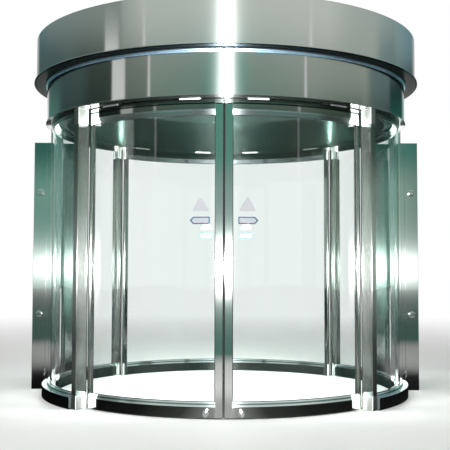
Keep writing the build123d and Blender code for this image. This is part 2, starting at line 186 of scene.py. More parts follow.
# The rails' colour is darker than the posts' sheet: painted dark reflection.
rail_colour = (0.26, 0.28, 0.26)
# colour painted on the rails' leaning bead faces: painted highlight
rail_bead_highlight = (0.74, 0.80, 0.82)
# lighter colour along folded edges: painted highlight, with some polish from wear
wear_and_highlight_colour = (0.80, 0.81, 0.81)
wear_and_highlight_share = 0.35
# dark green line painted along the bead: painted shade of its groove
flute_shade_colour = (0.22, 0.30, 0.28)        # of the shallow groove along a rail's sloping bead
flute_height = 0.114
# painted shade of the stiles' necks under the top rail's channel
neck_shade_colour = (0.01, 0.02, 0.02)
# dark colour painted on the rails' end faces: painted shade
cap_shade_colour = (0.02, 0.025, 0.025)
end_fade = 0.012              # half the width over which the grain turns at a rail's end
end_glow = 0.35               # least share and roughness of the scores at a rail's end
end_round = 0.4               # how much less the scores there spread in one line
bead_glow = 0.4               # least share of the scores on faces that lean
least_lean = 0.15
flute_fade = (0.009, 0.004)   # distances from the groove's middle where it starts and is full
cap_facing = 0.8              # how squarely an end face looks along the rail
# faces that look down more than this are painted dark and dull: painted shade
under_lean = -0.5
under_gloss = 0.01
grain_relief = 0.00003


def mask_rail_ends(tree, axes, ends, aside):
    """Mask of the rails' ends on an upright: below and above two heights, and past a distance to the side."""
    lower = maths(tree, "LESS_THAN", axes.outputs["Z"], ends[0])
    upper = maths(tree, "GREATER_THAN", axes.outputs["Z"], ends[1])
    mask = maths(tree, "ADD", lower, upper)
    if aside:
        beside = span(tree, maths(tree, "ABSOLUTE", axes.outputs["X"]), aside - end_fade, aside + end_fade)
        mask = maths(tree, "MULTIPLY", beside, mask)
    return mask


def mask_caps(tree, around, geometry):
    """Mask of a rail's end faces, which look along the rail."""
    ahead = add(tree, "VectorMath", {"operation": "NORMALIZE"}, in0=around).outputs[0]
    facing_ahead = add(tree, "VectorMath", {"operation": "DOT_PRODUCT"}, in0=ahead,
                       in1=geometry.outputs["True Normal"]).outputs["Value"]
    return maths(tree, "GREATER_THAN", maths(tree, "ABSOLUTE", facing_ahead), cap_facing)


def paint_neck_shade(tree, height, neck, tone):
    """Paint shade on a colour: dark between the neck's foot and top, where the stile's top lies in shadow."""
    above = maths(tree, "GREATER_THAN", height, neck[0])
    below = maths(tree, "LESS_THAN", height, neck[1])
    return blend(tree, maths(tree, "MULTIPLY", above, below), tone, (*neck_shade_colour, 1.0))


def paint_bead_highlight(tree, height, leaning, sloping, tone):
    """Paint a highlight on the faces that lean, with painted shade in the groove along them."""
    from_groove = maths(tree, "ABSOLUTE", maths(tree, "SUBTRACT", height, flute_height))
    # Painted highlight on the leaning faces, with a line of painted shade along the groove.
    leaning_highlight = blend(tree, span(tree, from_groove, *flute_fade), (*sloping, 1.0), (*flute_shade_colour, 1.0))
    return blend(tree, leaning, tone, leaning_highlight)


def spare_dull(tree, finished, tone):
    """Let dull surfaces near the steel see it as plain and dull, so that it throws no glints on them."""
    for_dull = maths(tree, "MINIMUM", add(tree, "LightPath").outputs["Diffuse Depth"], 1.0)
    dull = add(tree, "BsdfDiffuse", Color=tone)
    return add(tree, "MixShader", in0=for_dull, in1=finished, in2=dull.outputs[0]).outputs[0]


def steel(name, colour, roughness, upright=0.0, contrast=0.1, anisotropic=0.8, radius=0.003, glow=None,
          ends=None, aside=None, neck=None, sloping=None, under=None, scores=None, caps=False):
    """Ground stainless steel, a little brighter along its folded edges: painted highlight, with some polish
    from wear.

    glow is the (share, roughness) of the deeper scores, which spread a lamp into a line across the grain,
    and scores is their colour where it differs. caps gives a rail dull end faces, painted dark as shade.
    sloping is the colour of a highlight painted on faces that lean, and under the colour of painted shade on
    dull faces that look down.
    ends are the (top of the lower, foot of the upper) rail where they end on an upright and the grain runs
    round the drum, farther to the side than aside. neck is the (foot, top) of a neck that is painted dark, as
    painted shade.
    """
    material, tree, shader = plain(name)
    position = add(tree, "TexCoord").outputs["Object"]
    axes = add(tree, "SeparateXYZ", Vector=position)
    height = axes.outputs["Z"]
    colour = (*colour, 1.0)
    if ends:
        rail_end = mask_rail_ends(tree, axes, ends, aside)
        upright = maths(tree, "MULTIPLY", maths(tree, "SUBTRACT", 1.0, rail_end), upright)
        # Rail ends take the rails' darker colour, which is a painted dark reflection.
        colour = blend(tree, rail_end, colour, (*rail_colour, 1.0))
    ground = add(tree, "Group", {"node_tree": grain}, Position=position, Upright=upright, Colour=colour,
                 Roughness=roughness, Contrast=contrast)
    edge = add(tree, "Group", {"node_tree": fold}, Radius=radius)
    relief = add(tree, "Bump", Strength=1.0, Distance=grain_relief, Height=ground.outputs["Height"],
                 Normal=edge.outputs["Normal"])
    geometry = add(tree, "NewGeometry")
    lean = add(tree, "SeparateXYZ", Vector=geometry.outputs["True Normal"]).outputs["Z"]
    around = cross(tree, up, geometry.outputs["Position"])
    cap = mask_caps(tree, around, geometry) if caps else None
    turned = cap if caps else upright
    grain_line = add(tree, "Mix", {"data_type": "VECTOR"}, in0=turned, in4=around, in5=up).outputs[1]
    spread = cross(tree, geometry.outputs["Normal"], grain_line)
    tangent = add(tree, "VectorMath", {"operation": "NORMALIZE"}, in0=spread).outputs[0]

    # The folded edges are painted lighter: painted highlight, with some polish from wear.
    wear_and_highlight = maths(tree, "MULTIPLY", edge.outputs["Edge"], wear_and_highlight_share)
    tone = blend(tree, wear_and_highlight, ground.outputs["Colour"], (*wear_and_highlight_colour, 1.0))
    # The neck is painted dark: painted shade under the top rail's channel.
    if neck:
        tone = paint_neck_shade(tree, height, neck, tone)
    # Faces that lean get a painted highlight.
    if sloping:
        leaning = maths(tree, "GREATER_THAN", maths(tree, "ABSOLUTE", lean), least_lean)
        tone = paint_bead_highlight(tree, height, leaning, sloping, tone)
    # Faces that look down are painted dark and dull: painted shade.
    if under:
        downwards = maths(tree, "LESS_THAN", lean, under_lean)
        metallic = maths(tree, "SUBTRACT", 1.0, downwards)
        tone = blend(tree, downwards, tone, (*under, 1.0))
        shader.inputs["Specular IOR Level"].default_value = under_gloss
        tree.links.new(metallic, shader.inputs["Metallic"])
    # A rail's end faces are painted dark: painted shade.
    if caps:
        tone = blend(tree, cap, tone, (*cap_shade_colour, 1.0))
    shader.inputs["Metallic"].default_value = 1.0
    shader.inputs["Anisotropic"].default_value = anisotropic
    tree.links.new(tone, shader.inputs["Base Color"])
    tree.links.new(ground.outputs["Roughness"], shader.inputs["Roughness"])
    tree.links.new(relief.outputs[0], shader.inputs["Normal"])
    tree.links.new(tangent, shader.inputs["Tangent"])
    finished = shader.outputs[0]

    if glow:
        share, blur = glow
        stretch = 1.0
        if sloping:
            share = maths(tree, "MAXIMUM", maths(tree, "MULTIPLY", leaning, bead_glow), share)
        if ends:
            least = maths(tree, "MULTIPLY", rail_end, end_glow)
            share = maths(tree, "MAXIMUM", least, share)
            blur = maths(tree, "MAXIMUM", least, blur)
            stretch = maths(tree, "SUBTRACT", 1.0, maths(tree, "MULTIPLY", rail_end, end_round))
        if under:
            share = maths(tree, "MULTIPLY", metallic, share)
        deep = (*scores, 1.0) if scores else tone
        scored = add(tree, "BsdfPrincipled", Base_Color=deep, Metallic=1.0, Roughness=blur, Anisotropic=stretch,
                     Tangent=tangent, Normal=edge.outputs["Normal"])
        finished = add(tree, "MixShader", in0=share, in1=finished, in2=scored.outputs[0]).outputs[0]
    finished = spare_dull(tree, finished, tone)
    tree.links.new(finished, tree.nodes["Material Output"].inputs["Surface"])
    return material


def dress(material, *names):
    """Give CAD nodes their material."""
    for name in names:
        for slot in parts[name].material_slots:
            slot.material = material


base_steel = steel("base_rail_steel", rail_colour, 0.08, contrast=0.04, glow=(0.025, 0.24), sloping=rail_bead_highlight,
                   caps=True)
dress(base_steel, "base_rail_left", "base_rail_right")

# Posts beside the doorways, and mullions between the front and the rear panes.
# Folded tubes of stainless sheet, ground with an upright grain, standing on the floor and welded
# under the header. Their corners are rounded by the fold.
post_colour = (0.58, 0.60, 0.58)
post_steel = steel("post_steel", post_colour, 0.05, upright=1.0, contrast=0.03, glow=(0.045, 0.15))
dress(post_steel, "wall_mullions")
glass_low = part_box("front_right_bottom_rail")[1].z
glass_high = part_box("front_right_top_rail")[0].z
jamb_step = 0.015             # how far below the leaf's rail the turned grain on a jamb stops
# The jambs are painted darker and greener than the posts' sheet: painted reflection; their scores keep the
# sheet's colour.
jamb_steel = steel("jamb_steel", (0.24, 0.31, 0.26), 0.05, upright=1.0, contrast=0.03, glow=(0.16, 0.19),
                   scores=post_colour, ends=(glass_low - jamb_step, glass_high))
dress(jamb_steel, "jamb_posts_left", "jamb_posts_right")

# Wall posts and closing strips.
# Broad folded casings of the same sheet on both sides of the drum, joined to the mullions by flat
# strips.
dress(post_steel, "wall_post_left", "wall_post_right", "closing_strips")

# Lock roses of the wall posts.
# Turned from bar and polished, with a slot for the key, and screwed on from behind.


def piece(name, mesh, body, slot, *materials):
    """Make an object of a bmesh: smooth faces, sharp creases, its materials and its body. slot is not used."""
    bmesh.ops.recalc_face_normals(mesh, faces=mesh.faces)
    for face in mesh.faces:
        face.smooth = True
    for edge in mesh.edges:
        if len(edge.link_faces) == 2 and edge.calc_face_angle() > math.radians(30):
            edge.smooth = False
    data = bpy.data.meshes.new(name)
    mesh.to_mesh(data)
    mesh.free()
    for material in materials:
        data.materials.append(material)
    made = bpy.data.objects.new(name, data)
    bpy.context.scene.collection.objects.link(made)
    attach(made, body)
    return made


def turn_on(mesh, profile, place, stretch=1.0, facets=48):
    """Turn a profile of (height, radius) about an axis. place sets the axis; stretch makes the round oval."""
    rings = []
    for height, radius in profile:
        ring = []
        for index in range(facets):
            angle = 2 * math.pi * index / facets
            across = Vector((radius * math.cos(angle), radius * math.sin(angle) * stretch, height))
            ring.append(mesh.verts.new(place @ across))
        rings.append(ring)
    for first, second in zip(rings, rings[1:]):
        for index in range(facets):
            following = (index + 1) % facets
            mesh.faces.new((first[index], first[following], second[following], second[index]))
    mesh.faces.new(rings[0])
    mesh.faces.new(rings[-1])


def facing(direction, point):
    """A frame at a point whose third axis faces a direction, with the second axis upright."""
    third = Vector(direction).normalized()
    second = Vector(up)
    first = second.cross(third)
    return Matrix.Translation(point) @ Matrix((first, second, third)).transposed().to_4x4()


lock_spacing = 1.92 - 0.73    # between the upper and the lower lock of a wall post
key_slot_stretch = 3.2        # its height by its width
lock_chrome = steel("lock_chrome", (0.62, 0.64, 0.64), 0.05, anisotropic=0.0, contrast=0.02, radius=0.001)
# Black for the key slots: painted shade.
key_slot_shade = steel("key_slot_shade", (0.03, 0.03, 0.03), 0.4, anisotropic=0.0)
rose_low, rose_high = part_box("wall_post_locks")
rose_radius = (rose_high.z - rose_low.z - lock_spacing) / 2
rose_depth = rose_high.y - rose_low.y
rose_x = rose_high.x - rose_radius
roses = bmesh.new()
slots = bmesh.new()
for side in (-1, 1):
    for height in (rose_low.z + rose_radius, rose_high.z - rose_radius):
        place = facing((0, -1, 0), (side * rose_x, rose_high.y, height))
        turn_on(roses, [
            (0.0, rose_radius),
            (rose_depth * 0.6, rose_radius),
            (rose_depth * 0.9, rose_radius - 0.0015),
            (rose_depth, rose_radius - 0.004),
            (rose_depth, 0.017),
            (rose_depth - 0.002, 0.015),
            (rose_depth - 0.002, 0.0125),
            (rose_depth - 0.0005, 0.0115),
        ], place)
        key_slot = [(rose_depth - 0.0005, 0.0025), (rose_depth - 0.0001, 0.0025)]
        turn_on(slots, key_slot, place, key_slot_stretch, 12)
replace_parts(piece("wall_post_roses", roses, "frame", "lock_chrome", lock_chrome), "wall_post_locks")
# The key slots are flat black ovals: painted shade of the slots.
piece("wall_post_key_slots", slots, "frame", "lock_chrome", key_slot_shade)

# Fixed curved glass with its channels and gaskets.
# Toughened panes bent to the drum, standing in the base rails and held under the header by slim
# channels, with black rubber pressed in along the steel.
glass_tint = (0.955, 0.985, 0.975, 1.0)


def make_glass():
    """Clear float glass, faintly green. Shadow rays pass, so that what stands behind it is lit."""
    material, tree, shader = plain("clear_glass")
    shader.inputs["Base Color"].default_value = glass_tint
    shader.inputs["Roughness"].default_value = 0.0
    shader.inputs["IOR"].default_value = 1.5
    shader.inputs["Transmission Weight"].default_value = 1.0
    passing = add(tree, "BsdfTransparent", Color=glass_tint)
    shadow = add(tree, "LightPath").outputs["Is Shadow Ray"]
    mix = add(tree, "MixShader", in0=shadow, in1=shader.outputs[0], in2=passing.outputs[0])
    tree.links.new(mix.outputs[0], tree.nodes["Material Output"].inputs["Surface"])
    return material


mottle_scale = 260.0
mottle_relief = 0.0002
plain_gloss = 0.04
plate_blue = (0.01, 0.17, 0.27, 1.0)


def moulded(name, colour, roughness, border=None):
    """Plain rubber or printed film, with a faint mottle, and blue where the mask of a border says."""
    material, tree, shader = plain(name)
    position = add(tree, "TexCoord").outputs["Object"]
    mottle = add(tree, "TexNoise", Vector=position, Scale=mottle_scale, Detail=3.0).outputs["Fac"]
    level = span(tree, mottle, 0.2, 0.8, 0.9, 1.1)
    if border:
        mask = add(tree, "Group", {"node_tree": border}, Position=position).outputs["Border"]
        colour = blend(tree, mask, (*colour, 1.0), plate_blue)
    tone = add(tree, "VectorMath", {"operation": "SCALE"}, in0=colour, Scale=level).outputs[0]
    tree.links.new(tone, shader.inputs["Base Color"])
    tree.links.new(maths(tree, "MULTIPLY", level, roughness), shader.inputs["Roughness"])
    relief = add(tree, "Bump", Strength=0.3, Distance=mottle_relief, Height=mottle)
    tree.links.new(relief.outputs[0], shader.inputs["Normal"])
    shader.inputs["Specular IOR Level"].default_value = plain_gloss
    return material


Ring = namedtuple("Ring", "inner outer first last")


def polar(name):
    """A node's least and greatest radius, and its least and greatest angle from the front's centre line."""
    radii = [math.hypot(v.co.x, v.co.y) for v in parts[name].data.vertices]
    turns = [abs(math.degrees(math.atan2(v.co.x, -v.co.y))) for v in parts[name].data.vertices]
    return Ring(min(radii), max(radii), min(turns), max(turns))


def bend(mesh, outline, start, end, flip=(1, 1), step=2.0):
    """Sweep a closed section of (radius, height) points round the drum, from one angle to another.

    flip mirrors it to the left and to the rear, and step is the most that a facet turns, in degrees.
    """
    count = max(1, math.ceil((end - start) / step))
    rings = []
    for index in range(count + 1):
        turn = math.radians(start + (end - start) * index / count)
        across, along = flip[0] * math.sin(turn), -flip[1] * math.cos(turn)
        rings.append([mesh.verts.new((radius * across, radius * along, height)) for radius, height in outline])
    for first, second in zip(rings, rings[1:]):
        for corner in range(len(outline)):
            following = (corner + 1) % len(outline)
            mesh.faces.new((first[corner], second[corner], second[following], first[following]))
    mesh.faces.new(rings[0])
    mesh.faces.new(rings[-1])


glass = make_glass()
rubber = moulded("black_rubber", (0.02, 0.02, 0.02), 0.75)
dress(glass, "side_glass_left", "side_glass_right")
dress(base_steel, "glazing_channels_left", "glazing_channels_right")

gasket_width = 0.0025         # nosing beside the glass
gasket_height = 0.004         # how far it stands out of the steel
gasket_root = 0.001           # how far it reaches into the steel
gasket_gap = 0.0001           # between its back and the glass
every_quarter = [(x, y) for x in (-1, 1) for y in (-1, 1)]


def edge_gaskets(mesh, pane, heights, turns, flip):
    """Rubber nosing on both faces of a pane, along its lower, upper and upright edges."""
    low, high = heights
    first, last = turns
    for face, side in ((pane.inner, -1), (pane.outer, 1)):
        near = face + side * gasket_gap
        tip = face + side * gasket_width
        for height, away in ((low, 1), (high, -1)):
            bend(mesh, [
                (near, height - away * gasket_root),
                (tip, height),
                (tip, height + away * gasket_height / 2),
                (near, height + away * gasket_height),
            ], first, last, flip)
        lip = math.degrees(gasket_height / face)
        for start, end in ((first, first + lip), (last - lip, last)):
            bend(mesh, [(near, low), (tip, low), (tip, high), (near, high)], start, end, flip)


side_pane = polar("side_glass_right")
side_heights = (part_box("base_rail_right")[1].z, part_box("glazing_channels_right")[0].z)
side_turns = (side_pane.first, polar("wall_mullions").first)
side_gaskets = bmesh.new()
for flip in every_quarter:
    edge_gaskets(side_gaskets, side_pane, side_heights, side_turns, flip)
piece("side_glass_gaskets", side_gaskets, "frame", "black_rubber", rubber)

# Wall panels.
# Folded casings of the posts' sheet that stand outside the rear fixed panes and face the front.
# They are painted dark and green, a painted reflection of dim green surroundings, with the lamp in their
# scores.
panel_face = 0.85             # their distance behind the drum's middle
panel_return = 0.04
panel_sheet = 0.002
panel_gap = 0.0015            # to the base rail's corner
panel_ease = 0.001            # short of the wall post's outer edge and of the header
panel_foot = 0.0005
panel_inner = math.sqrt((polar("base_rail_right").outer + panel_gap) ** 2 - panel_face ** 2)
panel_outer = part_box("wall_post_right")[1].x - panel_ease
panel_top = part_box("glazing_channels_right")[1].z - panel_ease
panel_inside = panel_face + panel_sheet
panel_back = panel_face + panel_return
section = [
    (panel_inner, panel_face),
    (panel_outer, panel_face),
    (panel_outer, panel_back),
    (panel_outer - panel_sheet, panel_back),
    (panel_outer - panel_sheet, panel_inside),
    (panel_inner + panel_sheet, panel_inside),
    (panel_inner + panel_sheet, panel_back),
    (panel_inner, panel_back),
]
wall_panels = bmesh.new()
for side in (-1, 1):
    foot = [wall_panels.verts.new((side * across, along, panel_foot)) for across, along in section]
    head = [wall_panels.verts.new((side * across, along, panel_top)) for across, along in section]
    for corner in range(len(section)):
        following = (corner + 1) % len(section)
        wall_panels.faces.new((foot[corner], foot[following], head[following], head[corner]))
    wall_panels.faces.new(foot)
    wall_panels.faces.new(head)
# Painted dark green on the posts' sheet: painted reflection of dim green surroundings.
panel_steel = steel("panel_steel", (0.10, 0.24, 0.20), 0.06, upright=1.0, contrast=0.06, glow=(0.055, 0.18),
                    scores=(0.62, 0.66, 0.64))
piece("wall_panels", wall_panels, "frame", "post_steel", panel_steel)

# Pile seals of the jambs.
# Black brush pile in a strip behind each jamb, which closes the gap to the leaves' outer stiles.
pile_turns = (46.2, 46.7)     # the jamb's edge beside the doorway, in degrees
pile_foot = 0.006
pile_depth = 0.0102
pile_overlap = 0.0002         # with the jamb
stile_low, stile_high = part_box("front_right_stiles")
pile_root = polar("jamb_posts_right").inner + pile_overlap
pile_tip = pile_root - pile_depth
piles = bmesh.new()
for flip in every_quarter:
    bend(piles, [
        (pile_tip, pile_foot), (pile_root, pile_foot), (pile_root, stile_high.z), (pile_tip, stile_high.z),
    ], *pile_turns, flip)
piece("jamb_pile_seals", piles, "frame", "black_rubber", rubber)

# Header: glazing ring, channel and tracks.
# A trough of primed steel carries the curved aluminium tracks; the glazing ring closes it between
# the slot for the leaves and the groove for the fixed glass.
ring_steel = steel("glazing_ring_steel", (0.56, 0.58, 0.57), 0.08, contrast=0.04, glow=(0.025, 0.24))
dress(ring_steel, "glazing_ring")
primed = steel("primed_steel", (0.16, 0.17, 0.18), 0.5, anisotropic=0.0)
dress(primed, "header_channel", "fascia_stays")
track_metal = steel("track_aluminium", (0.70, 0.71, 0.72), 0.35, anisotropic=0.6)
dress(track_metal, "tracks")

# Lower and inner fascia.
# Ground stainless sheet rolled to the drum, with the grain running round it; folded in at the foot
# and over the header at the top.
# Darker than the upper fascia, which is of the same sheet: painted shade under the upper fascia's overhang.
lower_steel = steel("lower_fascia_steel", (0.50, 0.52, 0.50), 0.08, contrast=0.05, glow=(0.08, 0.22))
dress(lower_steel, "lower_fascia")
# The inner fascia is painted dark and green: painted shade inside the drum.
inner_steel = steel("inner_steel", (0.30, 0.37, 0.34), 0.08, contrast=0.05, glow=(0.02, 0.22))
dress(inner_steel, "inner_fascia")

# Cornice bead.
# A half-round moulding rolled from polished strip, in four lengths, clipped over a recess between
# the two fascias.
# The bead's blue tint is a painted reflection.
bead_steel = steel("bead_steel", (0.50, 0.68, 0.82), 0.25, anisotropic=0.5, contrast=0.03)
bead_low, bead_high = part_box("cornice_bead")
bead_inner = polar("cornice_bead").inner
bead_set_back = 0.005         # of the round's middle from the lower fascia's face
bead_bulge = 0.012
bead_undercut = 0.010
bead_undercut_height = 0.008
bead_face = polar("lower_fascia").outer - bead_set_back
bead_recess = bead_face - bead_undercut
bead_foot = bead_low.z + bead_undercut_height
bead_middle = (bead_foot + bead_high.z) / 2
bead_half = (bead_high.z - bead_foot) / 2
bead_facets = 16
bead_joint = 0.013            # half the gap between two lengths, in degrees
bead_section = [
    (bead_inner, bead_high.z), (bead_inner, bead_low.z), (bead_recess, bead_low.z), (bead_recess, bead_foot)
]
for index in range(bead_facets + 1):
    turn = math.radians(180 * index / bead_facets - 90)
    bead_section.append((bead_face + bead_bulge * math.cos(turn), bead_middle + bead_half * math.sin(turn)))
cornice = bmesh.new()
for quarter in range(4):
    bend(cornice, bead_section, quarter * 90 + bead_joint, (quarter + 1) * 90 - bead_joint)
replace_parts(piece("cornice_moulding", cornice, "frame", "bead_steel", bead_steel), "cornice_bead")

# Upper soffit, upper fascia and cover.
# The fascia is four rolled sheets on angle stays, with an open joint at each centre line and a
# folded lip over the soffit, and a plain galvanised cover keeps the dust off. The soffit and the
# lip's underside are painted dark: painted shade.
# Faces of the upper fascia that look down are painted dark: painted shade.
upper_steel = steel("upper_fascia_steel", (0.62, 0.64, 0.62), 0.09, radius=0.008, contrast=0.05,
                    glow=(0.08, 0.22), under=(0.004, 0.006, 0.006))
dress(upper_steel, "upper_fascia")
# The soffit is painted near black: painted shade under the upper fascia's overhang.
shaded_soffit_steel = steel("soffit_steel", (0.04, 0.06, 0.055), 0.2, anisotropic=0.5, under=(0.008, 0.012, 0.011))
dress(shaded_soffit_steel, "upper_soffit")
cover = steel("cover_steel", (0.5, 0.51, 0.51), 0.5, anisotropic=0.0)
dress(cover, "top_cover")

# Ceiling inside the drum.
# One disc of satin sheet that lies on the header's inner edge.
# The ceiling is painted dark and green: painted shade inside the drum.
ceiling_steel = steel("ceiling_steel", (0.22, 0.29, 0.28), 0.25, anisotropic=0.0)
dress(ceiling_steel, "ceiling_panel")

# Leaves: rails, stiles, glass, gaskets, brushes and hangers.
# Each leaf is a bent pane in folded rails and stiles, and hangs on two plates with rollers. The
# stiles end in a neck under the top rail's channel, painted dark as its shade, and a brush closes the gap at
# the floor.
leaf_names = {"front_right": (1, 1), "front_left": (-1, 1), "rear_right": (1, -1), "rear_left": (-1, -1)}
stiles = polar("front_right_stiles")
leaf_middle = (stiles.inner + stiles.outer) / 2
leaf_pane = polar("front_right_glass")
leaf_rail = polar("front_right_bottom_rail")
rail_end_turn = 43.2          # where the rails end on the outer stile, in degrees
neck_height = 0.0125
neck_gap = 0.0003
leaf_frame = {
    "ends": (glass_low, glass_high),
    "aside": stiles.outer * math.sin(math.radians(rail_end_turn)),
    "neck": (stile_high.z - neck_height, stile_high.z - neck_gap),
}
stile_steel = steel("stile_steel", post_colour, 0.05, upright=1.0, contrast=0.03, glow=(0.03, 0.15),
                    **leaf_frame)
rail_steel = steel("rail_steel", rail_colour, 0.08, contrast=0.04, glow=(0.03, 0.24), sloping=rail_bead_highlight,
                   **leaf_frame)
gear = steel("gear_steel", (0.5, 0.5, 0.5), 0.35, anisotropic=0.0)
lip_half_foot = 0.002
lip_half_head = 0.001
lip_gap = 0.004               # from the centre line, in degrees
lip_end = polar("front_right_gasket").first
brush_width = 0.003
brush_low, brush_high = 0.0036, stile_low.z
for leaf, flip in leaf_names.items():
    dress(glass, leaf + "_glass")
    dress(rail_steel, leaf + "_top_rail", leaf + "_bottom_rail")
    dress(stile_steel, leaf + "_stiles")
    dress(rubber, leaf + "_gasket")
    dress(gear, leaf + "_hangers")
    lip = bmesh.new()
    bend(lip, [
        (leaf_middle - lip_half_foot, stile_low.z),
        (leaf_middle + lip_half_foot, stile_low.z),
        (leaf_middle + lip_half_head, stile_high.z),
        (leaf_middle - lip_half_head, stile_high.z),
    ], lip_gap, lip_end, flip)
    piece(leaf + "_gasket_lip", lip, leaf + "_leaf", "black_rubber", rubber)
    seals = bmesh.new()
    edge_gaskets(seals, leaf_pane, (glass_low, glass_high), (leaf_rail.first, leaf_rail.last), flip)
    piece(leaf + "_glass_gaskets", seals, leaf + "_leaf", "black_rubber", rubber)
    brush = bmesh.new()
    for near in (stiles.inner + brush_width, stiles.outer - 2 * brush_width):
        far = near + brush_width
        bend(brush, [(near, brush_low), (far, brush_low), (far, brush_high), (near, brush_high)],
             stiles.first, stiles.last, flip)
    piece(leaf + "_floor_brush", brush, leaf + "_leaf", "black_rubber", rubber)
dress(gear, "floor_guides_left", "floor_guides_right")

# Lock covers on the leaves' bottom rails.
# Polished oval domes over the lock cylinders, one on the outside of each leaf, low down beside the
# meeting stile.
lock_aside = 0.140            # from the centre line, along the leaf
lock_turn = lock_aside / leaf_middle
lock_height = 0.045
lock_stretch = 1.3            # its height by its width
for leaf, flip in leaf_names.items():
    out = Vector((flip[0] * math.sin(lock_turn), -flip[1] * math.cos(lock_turn), 0.0))
    place = facing(out, out * stiles.outer + Vector((0, 0, lock_height)))
    lock = bmesh.new()
    turn_on(lock, [
        (0.0003, 0.0255),
        (0.0045, 0.0255),
        (0.0062, 0.0245),
        (0.0070, 0.0215),
        (0.0074, 0.016),
        (0.0068, 0.0145),
        (0.0068, 0.0115),
        (0.0074, 0.0105),
        (0.0078, 0.006),
    ], place, lock_stretch)
    piece(leaf + "_lock_cover", lock, leaf + "_leaf", "lock_chrome", lock_chrome)

# Markers on the glass.
# Printed film stuck on each leaf at eye height, so that the glass is noticed: a plain white triangle,
# and a plain white plate with a blue border that points the way the leaf slides.
plate_half = 0.0295           # half the height of a pointed plate
point_length = 0.028
border_width = 0.0095
slant_width = border_width * 1.38        # of the border along the point, measured along the plate
plate_limit = plate_half * 1.05          # from the plate's middle; the triangle is farther off


def make_border(front, rear):
    """Mask of the border round the pointed plates. front and rear are nodes of markers."""
    tree, given, made = group("plate_border", [("Position", "Vector", None)], [("Border", "Float")])
    radius, _, first, last = polar(front)
    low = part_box(front)[0].z
    half = math.radians(last - first) / 2 * radius
    middle = math.radians(last + first) / 2 * radius
    rear_shift = math.radians(180 - polar(rear).first - last) * radius
    axes = add(tree, "SeparateXYZ", Vector=given.outputs["Position"])
    aside = maths(tree, "ABSOLUTE", axes.outputs["X"])
    ahead = maths(tree, "ABSOLUTE", axes.outputs["Y"])
    along = maths(tree, "MULTIPLY", maths(tree, "ARCTAN2", aside, ahead), radius)
    shift = maths(tree, "MULTIPLY", maths(tree, "GREATER_THAN", axes.outputs["Y"], 0.0), rear_shift)
    along = maths(tree, "SUBTRACT", maths(tree, "SUBTRACT", along, shift), middle)
    across = maths(tree, "ABSOLUTE", maths(tree, "SUBTRACT", axes.outputs["Z"], low + plate_half))
    slant = maths(tree, "ADD", along, maths(tree, "MULTIPLY", across, point_length / plate_half))
    field = maths(tree, "LESS_THAN", across, plate_half - border_width)
    field = maths(tree, "MULTIPLY", field, maths(tree, "GREATER_THAN", along, border_width - half))
    field = maths(tree, "MULTIPLY", field, maths(tree, "LESS_THAN", slant, half - slant_width))
    plate = maths(tree, "LESS_THAN", across, plate_limit)
    tree.links.new(maths(tree, "MULTIPLY", plate, maths(tree, "SUBTRACT", 1.0, field)), made.inputs["Border"])
    return tree


border = make_border("front_right_markers", "rear_right_markers")
film = moulded("marker_film", (0.60, 0.62, 0.66), 0.6, border)
dress(film, *(leaf + "_markers" for leaf in leaf_names))

# Floor.
# Plain and pale. It turns into the white backdrop at a distance, and polished metal sees it glow in tones
# of its own, painted light and shade: dark close to the drum, lighter in front of the doorway.


def ramp(tree, value, stops):
    """A colour ramp with stops of (position, colour)."""
    node = add(tree, "ValToRGB", in0=value)
    bar = node.color_ramp.elements
    bar[0].position, bar[-1].position = stops[0][0], stops[-1][0]
    for place, _ in stops[1:-1]:
        bar.new(place)
    for element, (_, colour) in zip(bar, stops):
        element.color = (*colour, 1.0) if isinstance(colour, tuple) else (colour, colour, colour, 1.0)
    return node.outputs["Color"]


def round_about(tree, direction, stops):
    """A ramp by the angle from the front's centre line, in degrees, positive to the right."""
    axes = add(tree, "SeparateXYZ", Vector=direction)
    turn = maths(tree, "ARCTAN2", axes.outputs["X"], maths(tree, "MULTIPLY", axes.outputs["Y"], -1.0))
    turn = maths(tree, "ADD", maths(tree, "DIVIDE", turn, 2 * math.pi), 0.5)
    return ramp(tree, turn, [(degrees / 360 + 0.5, colour) for degrees, colour in stops])


def looked_at(tree):
    """Whether a ray comes straight from the camera or through glass, and whether it came off metal."""
    path = add(tree, "LightPath")
    glossy = maths(tree, "MINIMUM", path.outputs["Glossy Depth"], 1.0)
    straight = maths(tree, "SUBTRACT", 1.0, glossy)
    through = maths(tree, "MULTIPLY", path.outputs["Is Transmission Ray"], straight)
    return maths(tree, "MAXIMUM", path.outputs["Is Camera Ray"], through), glossy


white = (1.0, 1.0, 1.0, 1.0)
backdrop_fade = (4.0, 14.0)   # distances from the drum's middle between which the floor turns white
drum_edge = (1.55, 1.65)      # where the floor that metal sees changes: at the drum,
doorstep_edge = (2.1, 3.0)    # before the doorway,
behind_edge = (2.5, 3.5)      # and behind the drum, where it is bright
drum_floor = (0.04, 0.09, 0.075, 1.0)
farthest = 20.0               # distance at which the floor's tones by distance end
daylight = 1.7                # level behind the drum


